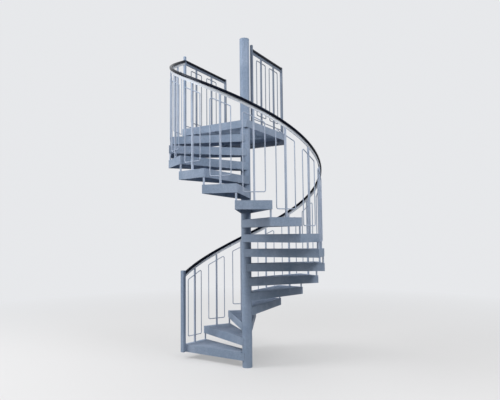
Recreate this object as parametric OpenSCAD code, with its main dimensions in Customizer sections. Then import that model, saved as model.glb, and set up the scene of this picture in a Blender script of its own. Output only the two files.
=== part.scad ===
// Outdoor spiral staircase of galvanised steel: a round column, sixteen box treads
// with grating decks, a helical handrail on bent-bar balusters and a top landing.
// The origin is at the foot of the column. +X runs along the wall, +Y points at the
// wall and +Z is up. Treads climb clockwise, seen from above, to the landing.

/* [Stair] */
// Distance from the column axis to the outer corners of the treads
stair_radius = 1000; // [800:10:1200]
// Rise from one tread to the next
riser = 187; // [175:1:200]
// Number of treads below the landing
tread_count = 16; // [13:1:16]
// Angle from one tread to the next
tread_turn = 22.4; // [21:0.1:22.5]
// Angle by which one tread laps over the next
lap_turn = 1.58; // [1.5:0.01:2]

/* [Column] */
// Outside diameter of the column
column_d = 127; // [100:1:140]
// Wall of the column tube
column_wall = 5; // [3:0.5:8]
// Height of the column above the landing
column_over = 1097; // [900:1:1200]
// Thickness of the foot plate inside the column
foot_t = 15; // [8:1:25]
// Thickness of the cap on the column
cap_t = 8; // [4:1:15]
// Depth of the cap's plug inside the column
plug_h = 25; // [10:1:60]

/* [Treads] */
// Height of the plates round a tread
tread_h = 100; // [80:1:120]
// Thickness of the plates
plate_t = 4; // [3:0.5:6]
// Depth of the grating bars
bar_h = 30; // [20:1:40]
// Thickness of the grating bars
bar_t = 3; // [2:0.5:5]
// Distance from one grating bar to the next
bar_pitch = 34; // [28:1:60]
// Width of the flat strip along the outer edge of a tread
strip_w = 46; // [44:1:60]
// Thickness of the strip and of the corner plates
strip_t = 5; // [4:0.5:8]
// Length of the sides of a corner plate
corner_plate = 60; // [50:1:90]

/* [Corner spacers] */
// Outside diameter of the spacer tubes between the tread corners
spacer_d = 22; // [18:1:23]
// Diameter of the bolt holes in the spacers and tread corners
bolt_d = 12; // [8:1:14]
// Distance from the tread's outer plate to the spacer's axis
spacer_inset = 15; // [14:0.5:17]

/* [Balusters] */
// Width of the square baluster posts
post_w = 20; // [16:1:25]
// Distance from the tread's outer face to the posts
post_edge = 2; // [1:0.5:4]
// Diameter of the bent bars
loop_d = 12; // [8:1:14]
// Bend radius at the centre line of the bent bars
bend_r = 20; // [15:1:30]
// Angle by which a bend laps over the straight bars beside it
bend_lap = 2; // [1:0.5:4]
// Swelling of the bar's radius where it is bent
bend_swell = 0.2; // [0.15:0.05:0.4]
// Distance from a post to the bars beside it
loop_half = 125; // [100:1:130]
// Height of the bottom of a loop above the tread
loop_foot = 89; // [60:1:150]
// Distance from the middle of the handrail grip down to the top of a loop
loop_drop = 140; // [110:1:180]
// Distance of the posts from a tread's middle line, towards the tread below
baluster_shift = 10; // [0:1:20]

/* [Handrail] */
// Height of the middle of the grip above the middle of a tread
rail_h = 1080; // [950:1:1150]
// Width of the grip
grip_w = 40; // [34:1:50]
// Height of the grip
grip_h = 37; // [26:1:45]
// Depth of the groove under the grip
groove_h = 12; // [8:1:16]
// Chamfer along the lower edges of the grip
grip_chamfer = 3; // [1:0.5:5]
// Thickness of the flat bar under the grip
rail_bar_t = 8; // [5:1:12]
// Height of the flat bar under the grip
rail_bar_h = 50; // [40:1:60]
// Straight pieces of the helical rail along one tread
rail_steps = 10; // [4:1:12]

/* [Square posts] */
// Width of the post at the first tread
start_post_w = 50; // [30:1:60]
// Distance from the first tread's corner to the outer face of that post
start_post_out = 12; // [0:1:20]
// Width of the posts on the landing
landing_post_w = 30; // [25:1:40]
// Wall of the square posts, and thickness of their caps
post_wall = 3; // [2:0.5:4]
// Height of the posts at the stair side of the landing above the grips they carry
post_over = 45; // [20:1:100]
// Gap between the column and the post beside it
column_post_gap = 38; // [10:1:60]

/* [Landing] */
// Distance from the column axis to the wall
wall_y = 1010; // [850:10:1200]
// Height of the middle of the grip above the landing
landing_rail_h = 993; // [900:1:1100]
// Distance from the landing's edges to the axes of the posts and rails
rail_inset = 26; // [22:1:30]
// Number of posts with bent bars in each guardrail
guardrail_posts = 2; // [1:1:2]
// Height of the bottom of a guardrail's loops above the landing
landing_loop_foot = 117; // [80:1:150]
// Distance from the middle of a guardrail's grip down to the top of its loops
landing_loop_drop = 105; // [90:1:160]
// Height of the axis of the round bar along the foot of a guardrail
foot_bar_z = 50; // [30:1:65]
// Length at the wall end of the left guardrail that its evenly set posts leave out
left_end_gap = 115; // [0:5:120]
// Height of the beam under the rear edge of the landing
beam_h = 70; // [50:1:100]
// Depth of the beam under the rear edge of the landing
beam_w = 60; // [40:1:80]
// Wall of the beam
beam_wall = 4; // [3:0.5:6]

/* [Fits] */
// Clearance between pieces that seat on each other
fit_gap = 0.3; // [0.2:0.05:0.5]

/* [Hidden] */
$fn = 48;
// Overshoot of a cut past the faces that it opens
cut = 1;
column_r = column_d / 2;
landing_z = riser * (tread_count + 1);
column_h = landing_z + column_over;
// Inner and outer faces of plates that lie along the column
plate_in = column_r + fit_gap;
plate_out = plate_in + plate_t;
// Angle where the last tread ends, so that it laps under the landing's front plate
stair_end = 360 - asin(plate_out / stair_radius) + lap_turn / 2;
stair_start = stair_end - tread_count * tread_turn;
// Half of the angle between a tread's outer corners, with its share of the laps
half_turn = (tread_turn + lap_turn) / 2;
corner_x = stair_radius * cos(half_turn);
corner_y = stair_radius * sin(half_turn);
// Angle of a tread's side plates to its middle line
side_turn = half_turn - asin(plate_out / stair_radius);
side_len = sqrt(stair_radius * stair_radius - plate_out * plate_out);
// Axis of the spacer at a tread's corner
spacer_x = corner_x - spacer_inset;
spacer_y = spacer_x * tan(tread_turn / 2);
spacer_h = riser - tread_h;
// Radius of the balusters and the handrail
rail_r = corner_x - post_edge - post_w / 2;
rail_slope = riser / (rail_r * tread_turn * PI / 180);
// Heights in the handrail's section, from the middle of the grip
groove_top = groove_h - grip_h / 2;
rail_bar_top = groove_top - fit_gap;
rail_bar_low = rail_bar_top - rail_bar_h;

landing_left = -stair_radius;
landing_right = plate_out;
landing_front = -plate_out;
left_rail_x = landing_left + rail_inset;
right_rail_x = landing_right - rail_inset;
front_post_y = landing_front + rail_inset;
column_post_y = column_r + column_post_gap + landing_post_w / 2;
wall_post_y = wall_y - landing_post_w / 2;
wall_post_h = landing_rail_h + grip_h / 2;
// Lap of the landing's strips and corner plate into the plates round it
edge_lap = plate_t / 2;
// Lap of the foot bars into the end posts
post_lap = post_wall / 2;

function two_digits(k) = str(k < 10 ? "0" : "", k);
function tread_name(k) = str("tread_", two_digits(k));
function baluster_name(k) = str("baluster_", two_digits(k));
function tread_z(k) = k * riser;
// Turn about the column that brings the middle line of tread k from +X to its place
function tread_angle(k) = 180 - stair_start - (k - 0.5) * tread_turn;
// Height of the middle of the grip at an angle along the stair
function rail_z(turn) = riser * ((turn - stair_start) / tread_turn + 0.5) + rail_h;
function on_stair(r, turn, z) = [-r * cos(turn), r * sin(turn), z];

// The rail runs from the face of the start post to the face of the landing's corner post
rail_from = stair_start + tread_turn / 2 - side_turn
    - asin((plate_out + fit_gap) / (rail_r + grip_w / 2)) + asin(fit_gap / rail_r);
rail_to = 360 - asin((landing_post_w / 2 + fit_gap - front_post_y) / (rail_r - grip_w / 2));
stair_post_h = max(landing_rail_h, rail_z(rail_to) - landing_z) + grip_h / 2 + post_over;

module steel() { color([0.66, 0.70, 0.75]) children(); }
module black_grip() { color([0.07, 0.07, 0.08]) children(); }

module column() {
    steel() difference() {
        cylinder(h = column_h, d = column_d);
        translate([0, 0, foot_t])
            cylinder(h = column_h, d = column_d - 2 * column_wall);
    }
}

module column_cap() {
    plug_d = column_d - 2 * column_wall - 2 * fit_gap;
    steel() translate([0, 0, column_h]) {
        cylinder(h = cap_t, d = column_d);
        translate([0, 0, -plug_h]) cylinder(h = plug_h, d = plug_d);
    }
}

// Half width of a tread at x, to the face of its side plate that is so far from the axis
function half_width(x, face) = (face + x * sin(side_turn)) / cos(side_turn);

// A mirrored outline between two distances from the column, out to one face of the sides
function wedge(x_in, x_out, face) = [
    [x_in, -half_width(x_in, face)], [x_out, -half_width(x_out, face)],
    [x_out, half_width(x_out, face)], [x_in, half_width(x_in, face)]];

// Side plates that touch the column and the straight outer plate, in one outline
module tread_frame() {
    tangent_out = plate_out * [-sin(side_turn), cos(side_turn)];
    tangent_in = plate_in * [-sin(side_turn), cos(side_turn)];
    x_in = corner_x - plate_t;
    half = [[corner_x, corner_y], tangent_out, tangent_in,
            [x_in, half_width(x_in, plate_in)]];
    other_half = [for (i = [3:-1:0]) [half[i][0], -half[i][1]]];
    linear_extrude(tread_h) polygon(concat(half, other_half));
}

// Grating of flat bars between the side plates, with one bar along the middle
module tread_grating() {
    face = plate_in + plate_t / 2;
    x_out = corner_x - strip_w + bar_t;
    count = floor((x_out - bar_t - plate_out) / bar_pitch);
    pitch = (x_out - bar_t - plate_out) / count;
    slots = [for (i = [0:count - 1], side = [-1, 1])
        let (a = plate_out + i * pitch + (i == 0 ? 0 : bar_t), b = plate_out + (i + 1) * pitch)
        [[a, side * bar_t / 2], [b, side * bar_t / 2],
         [b, side * half_width(b, plate_in)], [a, side * half_width(a, plate_in)]]];
    outline = wedge(plate_in, x_out, face);
    points = concat(outline, [for (slot = slots) each slot]);
    paths = concat([[0, 1, 2, 3]],
        [for (i = [0:len(slots) - 1]) [for (j = [0:3]) 4 + 4 * i + j]]);
    translate([0, 0, tread_h - bar_h]) linear_extrude(bar_h) polygon(points, paths);
}

// Plate across the inner end, against the column
module tread_inner_plate() {
    linear_extrude(tread_h) polygon(wedge(plate_in, plate_out, plate_in + plate_t / 2));
}

// Flat strip under the balusters and over the spacer at the back corner
module tread_strip() {
    outline = wedge(corner_x - strip_w, corner_x - plate_t / 2, plate_in + plate_t / 2);
    translate([0, 0, tread_h - strip_t]) linear_extrude(strip_t) polygon(outline);
}

// Plate in the lower front corner, on the spacer from the tread below
module tread_corner_plate() {
    corner = [corner_x - plate_t / 2, half_width(corner_x - plate_t / 2, plate_in + plate_t / 2)];
    along_side = corner - corner_plate * [cos(side_turn), sin(side_turn)];
    along_end = corner - [0, corner_plate];
    linear_extrude(strip_t) polygon([corner, along_side, along_end]);
}

module tread(k) {
    steel() rotate([0, 0, tread_angle(k)]) translate([0, 0, tread_z(k) - tread_h])
        difference() {
            union() {
                tread_frame();
                tread_grating();
                tread_inner_plate();
                tread_strip();
                tread_corner_plate();
            }
            for (side = [-1, 1])
                translate([spacer_x, side * spacer_y, side < 0 ? tread_h - 2 * strip_t : -strip_t])
                    cylinder(h = 3 * strip_t, d = bolt_d);
        }
}

// Tubes between the back corner of each tread and the front corner of the next
module corner_spacers() {
    steel() for (k = [1:tread_count])
        rotate([0, 0, tread_angle(k)]) translate([spacer_x, -spacer_y, tread_z(k)])
            difference() {
                cylinder(h = spacer_h, d = spacer_d);
                translate([0, 0, -cut]) cylinder(h = spacer_h + 2 * cut, d = bolt_d);
            }
}

function unit(v) = v / norm(v);
function left_of(v) = [-v[1], v[0]];
function turn_at(a, b) = acos(a * b);

// A closed round bar through corner points in the XY plane, anticlockwise, with bends
module bent_bar(corners) {
    n = len(corners);
    for (i = [0:n - 1]) {
        here = corners[i];
        next = corners[(i + 1) % n];
        came = unit(here - corners[(i + n - 1) % n]);
        goes = unit(next - here);
        after = unit(corners[(i + 2) % n] - next);
        turn = turn_at(came, goes);
        start = here + goes * bend_r * tan(turn / 2);
        stop = next - goes * bend_r * tan(turn_at(goes, after) / 2);
        centre = here - came * bend_r * tan(turn / 2) + left_of(came) * bend_r;
        translate([centre[0], centre[1], 0])
            rotate([0, 0, atan2(-left_of(came)[1], -left_of(came)[0]) - bend_lap])
                rotate_extrude(angle = turn + 2 * bend_lap)
                    translate([bend_r, 0]) circle(d = loop_d + 2 * bend_swell);
        translate([start[0], start[1], 0]) rotate([0, 0, atan2(goes[1], goes[0])])
            rotate([0, 90, 0]) cylinder(h = norm(stop - start), d = loop_d);
    }
}

// A post with a bent bar round it, in the XZ plane, under a rail that rises with slope
module post_and_loop(grip_z, slope, rail_gap, foot, drop) {
    top = grip_z + rail_bar_low - rail_gap;
    half = post_w / 2;
    loop_low = foot + loop_d / 2;
    loop_top = grip_z - drop;
    rotate([90, 0, 0]) {
        translate([0, 0, -half]) linear_extrude(post_w)
            polygon([[-half, 0], [half, 0], [half, top + half * slope],
                     [-half, top - half * slope]]);
        bent_bar([[-loop_half, loop_low], [loop_half, loop_low],
                  [loop_half, loop_top + loop_half * slope],
                  [-loop_half, loop_top - loop_half * slope]]);
    }
}

// The rising side of each baluster faces the next tread
module baluster(k) {
    grip_z = rail_h - rail_slope * baluster_shift;
    steel() rotate([0, 0, tread_angle(k)]) translate([rail_r, baluster_shift, tread_z(k)])
        rotate([0, 0, -90]) post_and_loop(grip_z, rail_slope, fit_gap, loop_foot, loop_drop);
}

// Square tube on its axis, closed by a cap
module square_post(w, height) {
    bore = w - 2 * post_wall;
    translate([-w / 2, -w / 2, 0]) difference() {
        cube([w, w, height]);
        translate([post_wall, post_wall, -cut]) cube([bore, bore, height - post_wall + cut]);
    }
}

// Square post against the front plate of the first tread
module start_post() {
    post_x = side_len + start_post_out - start_post_w / 2;
    post_y = plate_out + start_post_w / 2 + fit_gap;
    height = rail_z(stair_start) + grip_h / 2 - tread_z(1) + tread_h;
    steel() rotate([0, 0, tread_angle(1)]) translate([0, 0, tread_z(1) - tread_h])
        rotate([0, 0, side_turn])
            translate([post_x, post_y, 0]) square_post(start_post_w, height);
}

// Outlines of the flat bar and of the grip, across the rail
function rail_bar_outline() = [
    [-rail_bar_t / 2, rail_bar_low], [rail_bar_t / 2, rail_bar_low],
    [rail_bar_t / 2, rail_bar_top], [-rail_bar_t / 2, rail_bar_top]];
function grip_outline() = let (groove = rail_bar_t / 2 + fit_gap, low = -grip_h / 2) concat(
    [for (a = [0:22.5:180]) [grip_w / 2 * cos(a), grip_h / 2 * sin(a)]],
    [[grip_chamfer - grip_w / 2, low], [-groove, low], [-groove, groove_top],
     [groove, groove_top], [groove, low], [grip_w / 2 - grip_chamfer, low]]);

// Sweep of an outline along the stair's helix between two angles
module helix_sweep(outline, turn_from, turn_to) {
    steps = ceil((turn_to - turn_from) / tread_turn * rail_steps);
    n = len(outline);
    points = [for (i = [0:steps]) let (turn = turn_from + (turn_to - turn_from) * i / steps)
        for (p = outline) on_stair(rail_r + p[0], turn, rail_z(turn) + p[1])];
    sides = [for (i = [0:steps - 1], j = [0:n - 1]) let (a = i * n + j, b = i * n + (j + 1) % n)
        [a, b, b + n, a + n]];
    polyhedron(points, concat([[for (j = [n - 1:-1:0]) j]], sides,
        [[for (j = [0:n - 1]) steps * n + j]]));
}

module handrail_bar() { steel() helix_sweep(rail_bar_outline(), rail_from, rail_to); }
module handrail_grip() { black_grip() helix_sweep(grip_outline(), rail_from, rail_to); }

// Box frame of plates round the column with a grating of bars along the wall
module landing() {
    width = landing_right - landing_left;
    depth = wall_y - landing_front;
    inner_w = width - 2 * plate_t;
    inner_d = depth - 2 * plate_t;
    count = floor(inner_d / bar_pitch);
    pitch = inner_d / count;
    trim_d = 2 * (plate_out + plate_t);
    steel() translate([0, 0, landing_z - tread_h]) difference() {
        union() {
            translate([landing_left, landing_front, 0]) difference() {
                cube([width, depth, tread_h]);
                translate([plate_t, plate_t, -cut]) cube([inner_w, inner_d, tread_h + 2 * cut]);
            }
            translate([landing_left + plate_t, landing_front + plate_t, tread_h - bar_h]) {
                for (i = [1:count - 1])
                    translate([0, i * pitch - bar_t / 2, 0]) cube([inner_w, bar_t, bar_h]);
                for (i = [1:2])
                    translate([i * inner_w / 3 - bar_t / 2, 0, 0]) cube([bar_t, inner_d, bar_h]);
            }
            landing_strips();
            translate([0, 0, tread_h - bar_h]) intersection() {
                cylinder(h = bar_h, d = trim_d);
                translate([landing_left, landing_front, 0]) cube([width, depth, bar_h]);
            }
            translate([landing_left + edge_lap, landing_front + edge_lap, 0])
                cube([corner_plate, corner_plate, strip_t]);
        }
        translate([0, 0, -cut]) cylinder(h = tread_h + 2 * cut, r = plate_in);
        rotate([0, 0, tread_angle(tread_count)]) translate([spacer_x, -spacer_y, -cut])
            cylinder(h = strip_t + 2 * cut, d = bolt_d);
    }
}

// Flat strips under the posts along both sides of the landing
module landing_strips() {
    for (x = [landing_left + edge_lap, landing_right - edge_lap - strip_w])
        translate([x, landing_front + edge_lap, tread_h - strip_t])
            cube([strip_w, wall_y - landing_front - 2 * edge_lap, strip_t]);
}

module landing_post(x, y, height) {
    translate([x, y, landing_z]) square_post(landing_post_w, height);
}

module landing_corner_post() { steel() landing_post(left_rail_x, front_post_y, stair_post_h); }

// A straight run of an outline along +Y, between two distances
module straight_run(outline, y_from, y_to) {
    translate([0, y_to, landing_z + landing_rail_h]) rotate([90, 0, 0])
        linear_extrude(y_to - y_from) polygon(outline);
}

// Posts with bent bars, evenly set between two distances, that lap into the rail
module guardrail_panel(y_from, y_to) {
    space = (y_to - y_from) / (3 * guardrail_posts + 1);
    for (i = [1:guardrail_posts])
        translate([0, y_from + (3 * i - 1) * space, landing_z]) rotate([0, 0, 90])
            post_and_loop(landing_rail_h, 0, -fit_gap, landing_loop_foot, landing_loop_drop);
}

module foot_bar(y_from, y_to) {
    translate([0, y_to, landing_z + foot_bar_z]) rotate([90, 0, 0])
        cylinder(h = y_to - y_from, d = loop_d);
}

module left_guardrail() {
    y_from = front_post_y + landing_post_w / 2;
    y_to = wall_post_y - landing_post_w / 2;
    steel() {
        landing_post(left_rail_x, wall_post_y, wall_post_h);
        translate([left_rail_x, 0, 0]) {
            straight_run(rail_bar_outline(), y_from + fit_gap, y_to);
            foot_bar(y_from + fit_gap, y_to + post_lap);
            guardrail_panel(y_from, y_to - left_end_gap);
        }
    }
}

module left_rail_grip() {
    y_from = front_post_y + landing_post_w / 2 + fit_gap;
    y_to = wall_post_y - landing_post_w / 2 - fit_gap;
    black_grip() translate([left_rail_x, 0, 0]) straight_run(grip_outline(), y_from, y_to);
}

module right_guardrail() {
    y_from = column_post_y + landing_post_w / 2;
    y_to = wall_post_y - landing_post_w / 2;
    steel() {
        landing_post(right_rail_x, column_post_y, stair_post_h);
        landing_post(right_rail_x, wall_post_y, wall_post_h);
        translate([right_rail_x, 0, 0]) {
            straight_run(rail_bar_outline(), y_from, y_to);
            foot_bar(y_from - post_lap, y_to + post_lap);
            guardrail_panel(y_from, y_to);
        }
    }
}

module right_rail_grip() {
    y_from = column_post_y + landing_post_w / 2 + fit_gap;
    y_to = wall_post_y - landing_post_w / 2 - fit_gap;
    black_grip() translate([right_rail_x, 0, 0]) straight_run(grip_outline(), y_from, y_to);
}

// Hollow beam under the rear edge of the landing, flush with the wall
module wall_beam() {
    width = landing_right - landing_left;
    steel() translate([landing_left, wall_y - beam_w, landing_z - tread_h - beam_h])
        difference() {
            cube([width, beam_w, beam_h]);
            translate([-cut, beam_wall, beam_wall])
                cube([width + 2 * cut, beam_w - 2 * beam_wall, beam_h - 2 * beam_wall]);
        }
}

for (k = [1:tread_count]) {
    tread(k);
    baluster(k);
}
column();
column_cap();
corner_spacers();
start_post();
handrail_bar();
handrail_grip();
landing();
landing_corner_post();
left_guardrail();
left_rail_grip();
right_guardrail();
right_rail_grip();
wall_beam();
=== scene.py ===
"""The looks of a galvanised spiral staircase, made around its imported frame.

Metres and radians, +Z up, +Y towards the wall, with the origin at the foot of the column.
Treads climb clockwise, seen from above. What is added sits on what carries it: cross rods lie
in the gratings, bolts pass the corner spacers, welds close the seams along the column.
"""
import math

import bmesh
import bpy
from mathutils import Matrix, Vector


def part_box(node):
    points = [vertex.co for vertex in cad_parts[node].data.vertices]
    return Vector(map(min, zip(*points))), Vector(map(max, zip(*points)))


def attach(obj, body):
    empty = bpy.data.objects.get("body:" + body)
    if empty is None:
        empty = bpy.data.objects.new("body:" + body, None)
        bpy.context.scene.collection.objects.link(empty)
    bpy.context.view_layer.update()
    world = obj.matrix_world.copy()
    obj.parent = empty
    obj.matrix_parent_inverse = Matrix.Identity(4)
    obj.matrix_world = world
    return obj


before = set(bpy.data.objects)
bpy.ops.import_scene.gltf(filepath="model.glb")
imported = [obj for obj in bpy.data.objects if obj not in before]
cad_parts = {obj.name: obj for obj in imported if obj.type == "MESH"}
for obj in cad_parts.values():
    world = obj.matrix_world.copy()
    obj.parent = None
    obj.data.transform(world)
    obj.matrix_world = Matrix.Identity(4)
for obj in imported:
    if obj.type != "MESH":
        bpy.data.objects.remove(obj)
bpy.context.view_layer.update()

# Sizes of the stair, as its CAD source has them
RISER = 0.187
TREAD_COUNT = 16
TREAD_TURN = math.radians(22.4)
LAP_TURN = math.radians(1.58)
STAIR_RADIUS = 1.0
COLUMN_R = 0.0635
FIT_GAP = 0.0003
PLATE_T = 0.004
TREAD_H = 0.1
TRIM_H = 0.03
STRIP_W = 0.046
STRIP_T = 0.005
SPACER_INSET = 0.015
POST_W = 0.02
POST_EDGE = 0.002
LANDING_POST_W = 0.03
RAIL_H = 1.08
BALUSTER_SHIFT = 0.01
GRIP_W = 0.04
GRIP_H = 0.037
GRIP_CHAMFER = 0.003
WALL_Y = 1.01
LANDING_RAIL_H = 0.993
RAIL_INSET = 0.026

# What follows from them
UP = Vector((0, 0, 1))
ASIDE = Vector((1, 0, 0))
PLATE_IN = COLUMN_R + FIT_GAP
PLATE_OUT = PLATE_IN + PLATE_T
STAIR_END = 2 * math.pi - math.asin(PLATE_OUT / STAIR_RADIUS) + LAP_TURN / 2
STAIR_START = STAIR_END - TREAD_COUNT * TREAD_TURN
HALF_TURN = (TREAD_TURN + LAP_TURN) / 2
SIDE_TURN = HALF_TURN - math.asin(PLATE_OUT / STAIR_RADIUS)
CORNER_X = STAIR_RADIUS * math.cos(HALF_TURN)
SPACER_X = CORNER_X - SPACER_INSET
SPACER_Y = SPACER_X * math.tan(TREAD_TURN / 2)
RAIL_R = CORNER_X - POST_EDGE - POST_W / 2
LANDING_Z = RISER * (TREAD_COUNT + 1)
LANDING_LEFT = -STAIR_RADIUS
LANDING_RIGHT = PLATE_OUT
LANDING_FRONT = -PLATE_OUT
COLUMN_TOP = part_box("column")[1].z

# Cross rods of the gratings, flat bars on edge just below the deck's top
ROD_T = 0.002
ROD_H = 0.01
ROD_PITCH = 0.0111
LANDING_ROD_PITCH = 0.0333
ROD_DROP = 0.0005

# Bolts of the corner spacers
BOLT_R = 0.006
HEX_SIDES = 6
HEX_R = 0.0104
HEX_CHAMFER = 0.0012
HEAD_H = 0.0075
NUT_H = 0.0104
WASHER_SIDES = 24
WASHER_R = 0.0108
WASHER_T = 0.002
WASHER_CHAMFER = 0.0004
THREAD_SIDES = 16
THREAD_OUT = 0.005
THREAD_CHAMFER = 0.001
BOLT_TWIST = 0.9

# Bolts of the balusters and of the beam, scaled from those of the spacers
SMALL_BOLT_SCALE = 0.68
SMALL_THREAD_SIDES = 12
SMALL_THREAD_CHAMFER = 0.0008
SMALL_BOLT_TWIST = 1.7
BEAM_BOLT_SHARES = (0.08, 0.5, 0.92)
BEAM_BOLT_SCALE = 1.1
BEAM_WASHER_SCALE = 1.5
BEAM_BOLT_TWIST = 5

# Weld beads, with their ripples and tapered ends: seams run up the column at the treads,
# rings go round it, and STEEP is the rise from which a bead takes its sides from +X
BEAD_R = 0.0028
BEAD_STEP = 0.0017
BEAD_SIDES = 6
RIPPLE_STEPS = 3
RIPPLE_SHARE = 0.14
TAPER_FROM = 0.55
TAPER_STEP = 0.2
SEAM_OUT = BEAD_R / 3
SEAM_TURN = 0.055
SEAM_SHORT = 0.001
RING_OUT = BEAD_R / 4
CAP_BEAD_R = 0.0022
CAP_BEAD_INSET = 0.0012
POST_BEAD_R = 0.002
POST_BEAD_STEP = 0.0025
POST_BEAD_SHORT = 1.5 * POST_BEAD_R
STEEP = 0.9

# Collars of the grips' end caps
ARCH_STEPS = 12
COLLAR_STEPS = 4
COLLAR_L = 0.016
COLLAR_OVER = 0.0012
COLLAR_END_SHARE = 0.4

# Edges that bend less than this are shaded smooth
SMOOTH_BELOW = math.radians(40)
BEAD_SMOOTH_BELOW = math.radians(75)


def srgb(red, green, blue):
    """Linear colour with alpha, from the three values 0 to 255 that a screen shows."""
    linear = [((v / 255 + 0.055) / 1.055) ** 2.4 if v > 10 else v / 255 / 12.92
              for v in (red, green, blue)]
    return (*linear, 1.0)


# Noises of the zinc: scales in features per metre, and the span of their values in use
CLOUDS = {"scale": 3.0, "detail": 5, "roughness": 0.6, "span": (0.32, 0.68)}
MOTTLE = {"scale": 40, "detail": 4, "span": (0.3, 0.7)}
RUNS = {"scale": 28, "detail": 4, "roughness": 0.7, "stretch": (1, 1, 0.05),
        "span": (0.35, 0.65)}
GRIME = {"scale": 22, "detail": 5, "stretch": (1, 1, 0.35), "span": (0.35, 0.65)}
DENTS = {"scale": 60, "detail": 3}
GRIT = {"scale": 420, "detail": 2}

# What they do: factors of the zinc's colour, its roughness, shares of grime, bumps
GRAIN_TONE = (0.90, 1.06)
MOTTLE_TONE = (-0.03, 0.03)
GRAIN_ROUGHNESS = (0.52, 0.68)
GRIME_AT_FOOT = 0.5
GRIME_PATCHES = (0.2, 1.0)
GRIME_COLOUR = srgb(144, 160, 180)
GRIME_ROUGHNESS = 0.3
DENT_BUMP = {"distance": 0.0006, "strength": 0.35}
GRIT_BUMP = {"distance": 0.00015, "strength": 0.3}
ZINC_SPECULAR = 0.15

# The same for the black plastic
TINTS = {"scale": 90, "detail": 3, "span": (0.3, 0.7)}
HANDLED = {"scale": 35, "detail": 4, "span": (0.3, 0.7)}
DUST = {"scale": 18, "detail": 5, "span": (0.35, 0.7)}
MOULD = {"scale": 700, "detail": 2}
# The navy of these tints and of the specular tint is painted blue sky reflection on black
# plastic.
TINT_DEEP = (0.0007, 0.0016, 0.0060, 1)
TINT_PALE = (0.0016, 0.0031, 0.0105, 1)
HANDLED_ROUGHNESS = (0.18, 0.28)
DUST_FACING = (0.45, 1.0)
DUST_SHARE = 0.012
DUST_PATCHES = (0.3, 1.0)
DUST_COLOUR = srgb(108, 118, 136)
MOULD_BUMP = {"distance": 0.0001, "strength": 0.25}
PLASTIC_SPECULAR = 0.10
SKY_REFLECTION_TINT = (0.5, 0.66, 1.0, 1)


def shader_tree(material):
    material.use_nodes = True
    tree = material.node_tree
    return tree, tree.nodes["Principled BSDF"]


def set_inputs(tree, node, inputs):
    """Links a node's inputs to the sockets given for them, and sets them to other values."""
    for key, value in inputs.items():
        if isinstance(value, bpy.types.NodeSocket):
            tree.links.new(value, node.inputs[key])
        else:
            node.inputs[key].default_value = value


def add_node(tree, kind, settings=None, inputs=None):
    made = tree.nodes.new(kind)
    for key, value in (settings or {}).items():
        setattr(made, key, value)
    set_inputs(tree, made, inputs or {})
    return made


def place_of(tree, stretch=(1, 1, 1)):
    """The place on the object, in metres, stretched along the axes."""
    coords = add_node(tree, "ShaderNodeTexCoord")
    mapped = add_node(tree, "ShaderNodeMapping",
                      inputs={"Vector": coords.outputs["Object"], "Scale": stretch})
    return mapped.outputs["Vector"]


def noise(tree, scale, detail, stretch=(1, 1, 1), roughness=0.5):
    made = add_node(tree, "ShaderNodeTexNoise",
                    inputs={"Vector": place_of(tree, stretch), "Scale": scale,
                            "Detail": detail, "Roughness": roughness})
    return made.outputs["Fac"]


def remap(tree, value, low, high, to_low, to_high):
    made = add_node(tree, "ShaderNodeMapRange",
                    inputs={"Value": value, "From Min": low, "From Max": high,
                            "To Min": to_low, "To Max": to_high})
    return made.outputs["Result"]


def spread_noise(tree, to_low, to_high, span, **kind):
    """Noise of a kind, from to_low to to_high over a span of its values."""
    return remap(tree, noise(tree, **kind), *span, to_low, to_high)


def maths(tree, operation, first, second):
    made = add_node(tree, "ShaderNodeMath", {"operation": operation}, {0: first, 1: second})
    return made.outputs["Value"]


def mix_colour(tree, factor, first, second, blend="MIX"):
    """Two colours mixed. The node's sockets share their names, so they go by number."""
    made = add_node(tree, "ShaderNodeMix", {"data_type": "RGBA", "blend_type": blend},
                    {0: factor, 6: first, 7: second})
    return made.outputs[2]


def mix_shaders(tree, factor, first, second):
    made = add_node(tree, "ShaderNodeMixShader", inputs={0: factor, 1: first, 2: second})
    return made.outputs["Shader"]


def split_vector(tree, vector):
    return add_node(tree, "ShaderNodeSeparateXYZ", inputs={"Vector": vector}).outputs


def bump(tree, height, distance, strength, normal=None):
    inputs = {"Height": height, "Distance": distance, "Strength": strength}
    if normal is not None:
        inputs["Normal"] = normal
    return add_node(tree, "ShaderNodeBump", inputs=inputs).outputs["Normal"]


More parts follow.
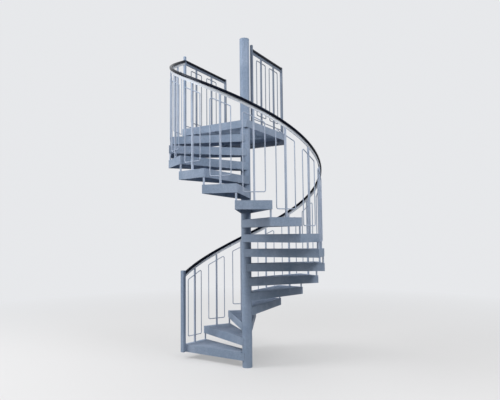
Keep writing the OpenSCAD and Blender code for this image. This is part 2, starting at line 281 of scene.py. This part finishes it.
def galvanised(name, dark, light, spangle=0.010, streaks=0.0, metallic=0.35, grime_top=0.0):
    """Hot-dip zinc: crystals of a spangle's size, dull clouds, runs down upright steel, and
    grime from the ground up to grime_top."""
    material = bpy.data.materials.new(name)
    tree, shader = shader_tree(material)
    cells = add_node(tree, "ShaderNodeTexVoronoi", {"feature": "F1"},
                     {"Vector": place_of(tree), "Scale": 1 / spangle, "Randomness": 1.0})
    grain = add_node(tree, "ShaderNodeSeparateColor",
                     inputs={"Color": cells.outputs["Color"]}).outputs["Red"]
    body = mix_colour(tree, spread_noise(tree, 0.0, 1.0, **CLOUDS), dark, light)
    tone = maths(tree, "ADD", remap(tree, grain, 0, 1, *GRAIN_TONE),
                 spread_noise(tree, *MOTTLE_TONE, **MOTTLE))
    if streaks:
        tone = maths(tree, "ADD", tone, spread_noise(tree, -streaks, streaks, **RUNS))
    grey = add_node(tree, "ShaderNodeCombineColor",
                    inputs={"Red": tone, "Green": tone, "Blue": tone})
    body = mix_colour(tree, 1.0, body, grey.outputs["Color"], "MULTIPLY")
    dull = remap(tree, grain, 0, 1, *GRAIN_ROUGHNESS)
    if grime_top:
        height = split_vector(tree, place_of(tree))["Z"]
        low = remap(tree, height, 0.0, grime_top, GRIME_AT_FOOT, 0.0)
        dirt = maths(tree, "MULTIPLY", low, spread_noise(tree, *GRIME_PATCHES, **GRIME))
        body = mix_colour(tree, dirt, body, GRIME_COLOUR)
        dull = maths(tree, "ADD", dull, maths(tree, "MULTIPLY", dirt, GRIME_ROUGHNESS))
    dents = bump(tree, noise(tree, **DENTS), **DENT_BUMP)
    grit = maths(tree, "ADD", noise(tree, **GRIT), grain)
    set_inputs(tree, shader, {
        "Base Color": body, "Roughness": dull, "Metallic": metallic,
        "Specular IOR Level": ZINC_SPECULAR,
        "Normal": bump(tree, grit, normal=dents, **GRIT_BUMP)})
    return material


def black_plastic(name):
    """Black plastic with a sheen, tinted navy as painted blue sky reflection, a fine moulded
    grain and a little dust on top.
    """
    material = bpy.data.materials.new(name)
    tree, shader = shader_tree(material)
    normal = add_node(tree, "ShaderNodeNewGeometry").outputs["Normal"]
    up = remap(tree, split_vector(tree, normal)["Z"], *DUST_FACING, 0.0, DUST_SHARE)
    dusty = maths(tree, "MULTIPLY", up, spread_noise(tree, *DUST_PATCHES, **DUST))
    tint = mix_colour(tree, spread_noise(tree, 0, 1, **TINTS), TINT_DEEP, TINT_PALE)
    set_inputs(tree, shader, {
        "Base Color": mix_colour(tree, dusty, tint, DUST_COLOUR),
        "Roughness": spread_noise(tree, *HANDLED_ROUGHNESS, **HANDLED),
        "Specular IOR Level": PLASTIC_SPECULAR,
        "Specular Tint": SKY_REFLECTION_TINT,
        "Normal": bump(tree, noise(tree, **MOULD), **MOULD_BUMP)})
    return material


SHEET = galvanised("galvanised_sheet", srgb(130, 148, 171), srgb(157, 171, 192),
                   metallic=0.08)
TUBE = galvanised("galvanised_tube", srgb(132, 150, 174), srgb(154, 169, 191),
                  streaks=0.05, metallic=0.12, grime_top=0.35)
BAR = galvanised("galvanised_bar", srgb(160, 173, 193), srgb(180, 191, 209),
                 spangle=0.006, streaks=0.03, metallic=0.2)
# The cross rods' zinc is a lighter copy: painted light, which brightens the gratings seen at
# a grazing angle.
ROD = galvanised("painted_light_rod_zinc", srgb(152, 167, 188), srgb(173, 185, 204),
                 spangle=0.004, metallic=0.05)
# The handrail bar's zinc is a lighter copy: its brightness is painted light and highlight.
RAIL = galvanised("painted_light_rail_zinc", srgb(190, 196, 205), srgb(205, 210, 217),
                  spangle=0.005, metallic=0.4)
# The wall beam's zinc is darker than the rest: painted shade, for its face in the landing's
# shadow.
BEAM = galvanised("painted_shade_beam_zinc", srgb(96, 106, 124), srgb(116, 126, 142),
                  streaks=0.02, metallic=0.1)
# The guardrails' zinc is a darker copy of the bars' zinc: its darkness is painted shade.
SHADED_GUARD = galvanised("painted_shade_guard_bar", srgb(116, 127, 145), srgb(136, 147, 164),
                   spangle=0.006, streaks=0.03, metallic=0.08)
WELD = galvanised("weld_zinc", srgb(132, 146, 167), srgb(165, 177, 193), spangle=0.003)
FIXING = galvanised("bolt_zinc", srgb(120, 128, 138), srgb(150, 158, 168),
                    spangle=0.002, metallic=0.7)
GRIP = black_plastic("black_grip")


def finish_of(node):
    """The material for a CAD node, by what it is made of; the beam and the guardrails get
    copies with painted shade, the handrail bar a copy with painted light.
    """
    if node.endswith("grip"):
        return GRIP
    if node.startswith("tread") or node == "landing":
        return SHEET
    if node == "wall_beam":
        return BEAM
    if node.startswith("column") or node.endswith("post"):
        return TUBE
    if node == "handrail_bar":
        return RAIL
    if node.endswith("guardrail"):
        return SHADED_GUARD
    return BAR


for name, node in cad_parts.items():
    for material_slot in node.material_slots:
        material_slot.material = finish_of(name)


def mesh_from(work, name):
    data = bpy.data.meshes.new(name)
    work.to_mesh(data)
    work.free()
    return data


def add_object(name, data):
    made = bpy.data.objects.new(name, data)
    bpy.context.scene.collection.objects.link(made)
    return made


def piece(name, build, material, smooth_below=SMOOTH_BELOW):
    """A new piece whose mesh build() fills, shaded smooth over edges below an angle."""
    work = bmesh.new()
    build(work)
    bmesh.ops.recalc_face_normals(work, faces=work.faces)
    for face in work.faces:
        face.smooth = True
    for edge in work.edges:
        edge.smooth = edge.calc_face_angle(math.pi) < smooth_below
    data = mesh_from(work, name)
    data.materials.append(material)
    made = add_object(name, data)
    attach(made, "root")


def add_loft(work, rings, loop=False):
    """A skin through rings of points, closed by end faces unless the rings run in a loop."""
    made = [[work.verts.new(point) for point in ring] for ring in rings]
    spans = list(zip(made, made[1:]))
    if loop:
        spans.append((made[-1], made[0]))
    else:
        work.faces.new(list(reversed(made[0])))
        work.faces.new(made[-1])
    for near, far in spans:
        for i in range(len(near)):
            j = (i + 1) % len(near)
            work.faces.new((near[i], near[j], far[j], far[i]))


def add_prism(work, place, sides, radius, height, chamfer):
    """A prism that stands on place, with a chamfer round its far end."""
    turns = [2 * math.pi * i / sides for i in range(sides)]
    add_loft(work, [[place @ Vector((r * math.cos(t), r * math.sin(t), z)) for t in turns]
                    for r, z in ((radius, 0), (radius, height - chamfer),
                                 (radius - chamfer, height))])


def add_bar(work, start, stop, width, height):
    """A level flat bar on edge between two points at the middle of its top."""
    along = (stop - start).normalized()
    side = along.cross(UP) * width / 2
    down = UP * -height
    add_loft(work, [[end + side, end - side, end - side + down, end + side + down]
                    for end in (start, stop)])


def add_bead(work, path, radius, loop=False):
    """A rippled weld bead along closely set points, with tapered ends unless it is a loop."""
    rings = []
    last = len(path) - 1
    for i, point in enumerate(path):
        ahead = path[(i + 1) % len(path)] if loop else path[min(i + 1, last)]
        behind = path[i - 1] if loop else path[max(i - 1, 0)]
        along = (ahead - behind).normalized()
        across = along.cross(UP if abs(along.z) < STEEP else ASIDE).normalized()
        other = along.cross(across)
        size = radius * (1 + RIPPLE_SHARE * math.sin(2 * math.pi * i / RIPPLE_STEPS))
        if not loop:
            size *= min(1.0, TAPER_FROM + TAPER_STEP * min(i, last - i))
        turns = (2 * math.pi / BEAD_SIDES * j for j in range(BEAD_SIDES))
        rings.append([point + size * (across * math.cos(t) + other * math.sin(t))
                      for t in turns])
    add_loft(work, rings, loop)


def line_points(start, stop, step):
    count = max(2, round((stop - start).length / step))
    return [start.lerp(stop, i / count) for i in range(count + 1)]


def corner_points(place, corners, step):
    """Closely set points from corner to corner on place, without the last corner."""
    ends = [place @ Vector((x, y, 0)) for x, y in corners]
    points = []
    for start, stop in zip(ends, ends[1:]):
        points += line_points(start, stop, step)[:-1]
    return points


def add_ring_bead(work, z, ring_radius, bead_radius):
    """A bead round the column's axis, with a whole number of ripples."""
    count = RIPPLE_STEPS * round(2 * math.pi * ring_radius / BEAD_STEP / RIPPLE_STEPS)
    turns = (2 * math.pi * i / count for i in range(count))
    path = [Vector((ring_radius * math.cos(t), ring_radius * math.sin(t), z)) for t in turns]
    add_bead(work, path, bead_radius, loop=True)


def moved(x, y, z):
    return Matrix.Translation((x, y, z))


def turned(angle, axis="Z"):
    return Matrix.Rotation(angle, 4, axis)


def tread_place(k):
    """Frame of tread k: X outward along its middle, Y to its lower side, Z from its top."""
    turn = math.pi - STAIR_START - (k - 0.5) * TREAD_TURN
    return moved(0, 0, k * RISER) @ turned(turn)


def grating_rods(k):
    """Cross rods pressed into a tread's grating, on both sides of its middle bar."""
    place = tread_place(k)
    x_out = CORNER_X - STRIP_W
    widest = (PLATE_IN + x_out * math.sin(SIDE_TURN)) / math.cos(SIDE_TURN)
    rows = int((widest - PLATE_T) / ROD_PITCH)

    def build(work):
        for row in range(-rows, rows + 1):
            if row == 0:
                continue
            y = row * ROD_PITCH
            past_side = (abs(y) * math.cos(SIDE_TURN) - PLATE_IN) / math.sin(SIDE_TURN)
            x_in = max(PLATE_OUT - PLATE_T / 2, past_side - PLATE_T)
            if x_out - x_in > ROD_PITCH:
                add_bar(work, place @ Vector((x_in, y, -ROD_DROP)),
                        place @ Vector((x_out + PLATE_T / 2, y, -ROD_DROP)), ROD_T, ROD_H)

    piece(f"grating_rods_{k:02d}", build, ROD)


def landing_rods(work):
    """Cross rods of the landing's grating, which run to the wall and stop at the column."""
    left = LANDING_LEFT + STRIP_W
    right = LANDING_RIGHT - STRIP_W
    count = round((right - left) / LANDING_ROD_PITCH)
    clear = PLATE_OUT + PLATE_T / 2
    for i in range(1, count):
        x = left + (right - left) * i / count
        y_in = LANDING_FRONT + PLATE_T / 2
        if abs(x) < clear:
            y_in = math.sqrt(clear * clear - x * x)
        add_bar(work, Vector((x, y_in, LANDING_Z - ROD_DROP)),
                Vector((x, WALL_Y - PLATE_T / 2, LANDING_Z - ROD_DROP)), ROD_T, ROD_H)


def add_fixing(work, place, hex_h, scale=1.0, washer_scale=1.0):
    """A washer that lies on place, with a bolt's head or a nut on it."""
    add_prism(work, place, WASHER_SIDES, WASHER_R * washer_scale, WASHER_T * washer_scale,
              WASHER_CHAMFER * washer_scale)
    add_prism(work, place @ moved(0, 0, WASHER_T * washer_scale), HEX_SIDES, HEX_R * scale,
              hex_h * scale, HEX_CHAMFER * scale)


def corner_bolts(work):
    """A bolt through each corner spacer: head on the corner plate, nut below the strip."""
    for k in range(1, TREAD_COUNT + 1):
        axis = tread_place(k) @ moved(SPACER_X, -SPACER_Y, 0)
        twist = turned(BOLT_TWIST * k)
        add_fixing(work, axis @ moved(0, 0, RISER - TREAD_H + STRIP_T) @ twist, HEAD_H)
        low = axis @ moved(0, 0, -STRIP_T) @ twist @ turned(math.pi, "X")
        add_fixing(work, low, NUT_H)
        add_prism(work, low, THREAD_SIDES, BOLT_R, WASHER_T + NUT_H + THREAD_OUT,
                  THREAD_CHAMFER)


def baluster_nuts(work):
    """A nut and washer under the strip, where each baluster is bolted down."""
    scale = SMALL_BOLT_SCALE
    for k in range(1, TREAD_COUNT + 1):
        low = (tread_place(k) @ moved(RAIL_R, BALUSTER_SHIFT, -STRIP_T)
               @ turned(SMALL_BOLT_TWIST * k) @ turned(math.pi, "X"))
        add_fixing(work, low, NUT_H, scale, scale)
        add_prism(work, low, SMALL_THREAD_SIDES, BOLT_R * scale,
                  (WASHER_T + NUT_H + THREAD_OUT) * scale, SMALL_THREAD_CHAMFER)


def beam_bolts(work):
    """Bolts through the beam into the wall, with their heads on its face."""
    low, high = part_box("wall_beam")
    for share in BEAM_BOLT_SHARES:
        x = low.x + share * (high.x - low.x)
        place = moved(x, low.y, (low.z + high.z) / 2) @ turned(math.pi / 2, "X")
        add_fixing(work, place @ turned(BEAM_BOLT_TWIST * share), HEAD_H, BEAM_BOLT_SCALE,
                   BEAM_WASHER_SCALE)


def column_welds(work):
    """Beads where each tread's side plates end on the column, one on either side."""
    r = COLUMN_R + SEAM_OUT
    turn = math.pi / 2 + SIDE_TURN + SEAM_TURN
    for k in range(1, TREAD_COUNT + 1):
        place = tread_place(k)
        for side in (-1, 1):
            foot = Vector((r * math.cos(turn), side * r * math.sin(turn),
                           SEAM_SHORT - TREAD_H))
            head = Vector((foot.x, foot.y, -SEAM_SHORT))
            add_bead(work, line_points(place @ foot, place @ head, BEAD_STEP), BEAD_R)


def landing_welds(work):
    """Beads round the column above and below the landing's trim."""
    for z in (LANDING_Z, LANDING_Z - TRIM_H):
        add_ring_bead(work, z, COLUMN_R + RING_OUT, BEAD_R)


def cap_weld(work):
    """The seam between the column and its cap."""
    add_ring_bead(work, COLUMN_TOP, COLUMN_R - CAP_BEAD_INSET, CAP_BEAD_R)


def post_welds(work):
    """Small fillets round the feet of the balusters and of the posts on the landing."""
    def add_square(place, half):
        corners = ((half, half), (-half, half), (-half, -half), (half, -half), (half, half))
        add_bead(work, corner_points(place, corners, POST_BEAD_STEP), POST_BEAD_R, loop=True)

    for k in range(1, TREAD_COUNT + 1):
        add_square(tread_place(k) @ moved(RAIL_R, BALUSTER_SHIFT, 0), POST_W / 2)
    half = LANDING_POST_W / 2
    left = LANDING_LEFT + RAIL_INSET
    right = LANDING_RIGHT - RAIL_INSET
    add_square(moved(left, LANDING_FRONT + RAIL_INSET, LANDING_Z), half)
    add_square(moved(right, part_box("right_guardrail")[0].y + half, LANDING_Z), half)
    back = half - POST_BEAD_SHORT
    away_from_wall = ((half, back), (half, -half), (-half, -half), (-half, back))
    for x in (left, right):
        place = moved(x, WALL_Y - half, LANDING_Z)
        add_bead(work, corner_points(place, away_from_wall, POST_BEAD_STEP), POST_BEAD_R)


def grip_ring(centre, outward, over):
    """The grip's outline across the rail, swollen by a small amount."""
    wide = GRIP_W / 2 + over
    high = GRIP_H / 2 + over
    turns = (math.pi * i / ARCH_STEPS for i in range(ARCH_STEPS + 1))
    arch = [(wide * math.cos(t), high * math.sin(t)) for t in turns]
    foot = [(-wide, -high + GRIP_CHAMFER), (GRIP_CHAMFER - wide, -high),
            (wide - GRIP_CHAMFER, -high), (wide, -high + GRIP_CHAMFER)]
    return [centre + outward * x + UP * z for x, z in arch + foot]


def add_collar(work, places):
    """An end cap's collar through places along a grip, thinner at its two ends."""
    rings = []
    for i, (centre, outward) in enumerate(places):
        at_end = i in (0, len(places) - 1)
        over = COLLAR_OVER * COLLAR_END_SHARE if at_end else COLLAR_OVER
        rings.append(grip_ring(centre, outward, over))
    add_loft(work, rings)


def rail_place(turn):
    """The helical grip's centre and its outward direction at a turn of the stair."""
    z = RISER * ((turn - STAIR_START) / TREAD_TURN + 0.5) + RAIL_H
    outward = Vector((-math.cos(turn), math.sin(turn), 0))
    return outward * RAIL_R + UP * z, outward


def grip_end_caps(work):
    """Collars of the black end caps on all three grips. The helical one runs from the face
    of the start post to the face of the landing's corner post, as in the CAD source."""
    steps = range(COLLAR_STEPS + 1)
    front_post_y = LANDING_FRONT + RAIL_INSET
    rail_from = (STAIR_START + TREAD_TURN / 2 - SIDE_TURN
                 - math.asin((PLATE_OUT + FIT_GAP) / (RAIL_R + GRIP_W / 2))
                 + math.asin(FIT_GAP / RAIL_R))
    rail_to = 2 * math.pi - math.asin((LANDING_POST_W / 2 + FIT_GAP - front_post_y)
                                      / (RAIL_R - GRIP_W / 2))
    for end, inward in ((rail_from, 1), (rail_to, -1)):
        step = COLLAR_L / RAIL_R / COLLAR_STEPS * inward
        add_collar(work, [rail_place(end + i * step) for i in steps])
    for node in ("left_rail_grip", "right_rail_grip"):
        low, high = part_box(node)
        x = (low.x + high.x) / 2
        for end, inward in ((low.y, 1), (high.y, -1)):
            ys = [end + inward * COLLAR_L * i / COLLAR_STEPS for i in steps]
            add_collar(work, [(Vector((x, y, LANDING_Z + LANDING_RAIL_H)), ASIDE)
                              for y in ys])


for tread in range(1, TREAD_COUNT + 1):
    grating_rods(tread)
piece("landing_grating_rods", landing_rods, ROD)
for name, build in (("corner_bolts", corner_bolts), ("baluster_nuts", baluster_nuts),
                    ("beam_bolts", beam_bolts)):
    piece(name, build, FIXING)
for name, build in (("column_welds", column_welds), ("landing_welds", landing_welds),
                    ("cap_weld", cap_weld), ("post_welds", post_welds)):
    piece(name, build, WELD, smooth_below=BEAD_SMOOTH_BELOW)
piece("grip_end_caps", grip_end_caps, GRIP)


# Floor, world and lamps
WHITE = (1, 1, 1, 1)
BACKGROUND = (0.80, 0.81, 0.83, 1)
FLOOR_SEEN = (0.36, 0.36, 0.365, 1)
FLOOR_BOUNCE = (0.15, 0.15, 0.155, 1)
FLOOR_ROUGHNESS = 0.9
FLOOR_GLOW = 0.32
FLOOR_R = 60
FLOOR_SIDES = 96
FADE_FROM = 3.0
FADE_TO = 9.0
SKY_HEIGHTS = (0.5, 0.95)
SKY_STRENGTHS = (0.3, 1.35)
LAMP_AIM = Vector((0, 0, 2))
LAMP_SIZE = 4.0
LAMPS = (("key", (-6.0, -5.0, 8.0), 430),
         ("low_left", (-7.5, -6.0, 4.0), 155),
         ("front", (0.0, -7.0, 9.5), 120),
         ("right", (7.5, -3.0, 8.0), 445))

# Camera, solved from the photograph
CAMERA_PLACE = Vector((3.187, -5.242, 1.687))
CAMERA_YAW = math.radians(-30.79)
CAMERA_PITCH = math.radians(4.13)
CAMERA_ROLL = math.radians(-0.61)
CAMERA_LENS = 33.92
SENSOR = 36


def seen_ray(tree):
    """One where a ray comes from the camera, a gloss or a glass, and zero elsewhere."""
    rays = add_node(tree, "ShaderNodeLightPath")
    return maths(tree, "MAXIMUM", rays.outputs["Is Camera Ray"],
                 maths(tree, "MAXIMUM", rays.outputs["Is Glossy Ray"],
                       rays.outputs["Is Transmission Ray"]))


def floor_material():
    """A floor with shadows near the stair that fades into the background further out."""
    material = bpy.data.materials.new("floor")
    tree, bounce = shader_tree(material)
    set_inputs(tree, bounce, {"Base Color": FLOOR_BOUNCE, "Roughness": FLOOR_ROUGHNESS})
    shade = add_node(tree, "ShaderNodeBsdfDiffuse", inputs={"Color": FLOOR_SEEN})
    glow = add_node(tree, "ShaderNodeEmission",
                    inputs={"Color": WHITE, "Strength": FLOOR_GLOW})
    near = add_node(tree, "ShaderNodeAddShader",
                    inputs={0: shade.outputs["BSDF"], 1: glow.outputs["Emission"]})
    far = add_node(tree, "ShaderNodeEmission", inputs={"Color": BACKGROUND})
    from_axis = add_node(tree, "ShaderNodeVectorMath", {"operation": "LENGTH"},
                         {0: place_of(tree)})
    fade = remap(tree, from_axis.outputs["Value"], FADE_FROM, FADE_TO, 0.0, 1.0)
    seen = mix_shaders(tree, fade, near.outputs["Shader"], far.outputs["Emission"])
    both = mix_shaders(tree, seen_ray(tree), bounce.outputs["BSDF"], seen)
    set_inputs(tree, tree.nodes["Material Output"], {"Surface": both})
    return material


def plain_floor():
    work = bmesh.new()
    bmesh.ops.create_circle(work, cap_ends=True, radius=FLOOR_R, segments=FLOOR_SIDES)
    data = mesh_from(work, "floor")
    data.materials.append(floor_material())
    floor = add_object("floor", data)


def soft_world():
    """Soft light that is strongest from above, with a plain background where it is seen."""
    world = bpy.data.worlds.new("studio")
    bpy.context.scene.world = world
    world.use_nodes = True
    tree = world.node_tree
    shown = tree.nodes["Background"]
    set_inputs(tree, shown, {"Color": BACKGROUND})
    coords = add_node(tree, "ShaderNodeTexCoord")
    height = split_vector(tree, coords.outputs["Generated"])["Z"]
    lit = add_node(tree, "ShaderNodeBackground", inputs={
        "Color": WHITE, "Strength": remap(tree, height, *SKY_HEIGHTS, *SKY_STRENGTHS)})
    both = mix_shaders(tree, seen_ray(tree), lit.outputs["Background"],
                       shown.outputs["Background"])
    set_inputs(tree, tree.nodes["World Output"], {"Surface": both})


def soft_lamp(name, place, power):
    data = bpy.data.lights.new(name, "AREA")
    data.shape = "DISK"
    data.size = LAMP_SIZE
    data.energy = power
    lamp = add_object(name, data)
    lamp.location = place
    lamp.rotation_euler = (LAMP_AIM - Vector(place)).to_track_quat("-Z", "Y").to_euler()


def photo_camera():
    """The camera at the photograph's place; yaw is measured from +Y towards +X."""
    level = Vector((math.sin(CAMERA_YAW), math.cos(CAMERA_YAW), 0))
    forward = level * math.cos(CAMERA_PITCH) + UP * math.sin(CAMERA_PITCH)
    side = Vector((math.cos(CAMERA_YAW), -math.sin(CAMERA_YAW), 0))
    top = side.cross(forward)
    right = side * math.cos(CAMERA_ROLL) + top * math.sin(CAMERA_ROLL)
    above = top * math.cos(CAMERA_ROLL) - side * math.sin(CAMERA_ROLL)
    data = bpy.data.cameras.new("camera")
    data.sensor_fit = "HORIZONTAL"
    data.sensor_width = SENSOR
    data.lens = CAMERA_LENS
    data.clip_end = 2 * FLOOR_R
    camera = add_object("camera", data)
    aim = Matrix((right, above, -forward)).transposed().to_4x4()
    camera.matrix_world = Matrix.Translation(CAMERA_PLACE) @ aim
    bpy.context.scene.camera = camera


plain_floor()
soft_world()
for name, place, power in LAMPS:
    soft_lamp(name, place, power)
photo_camera()
bpy.context.scene.view_settings.view_transform = "Standard"
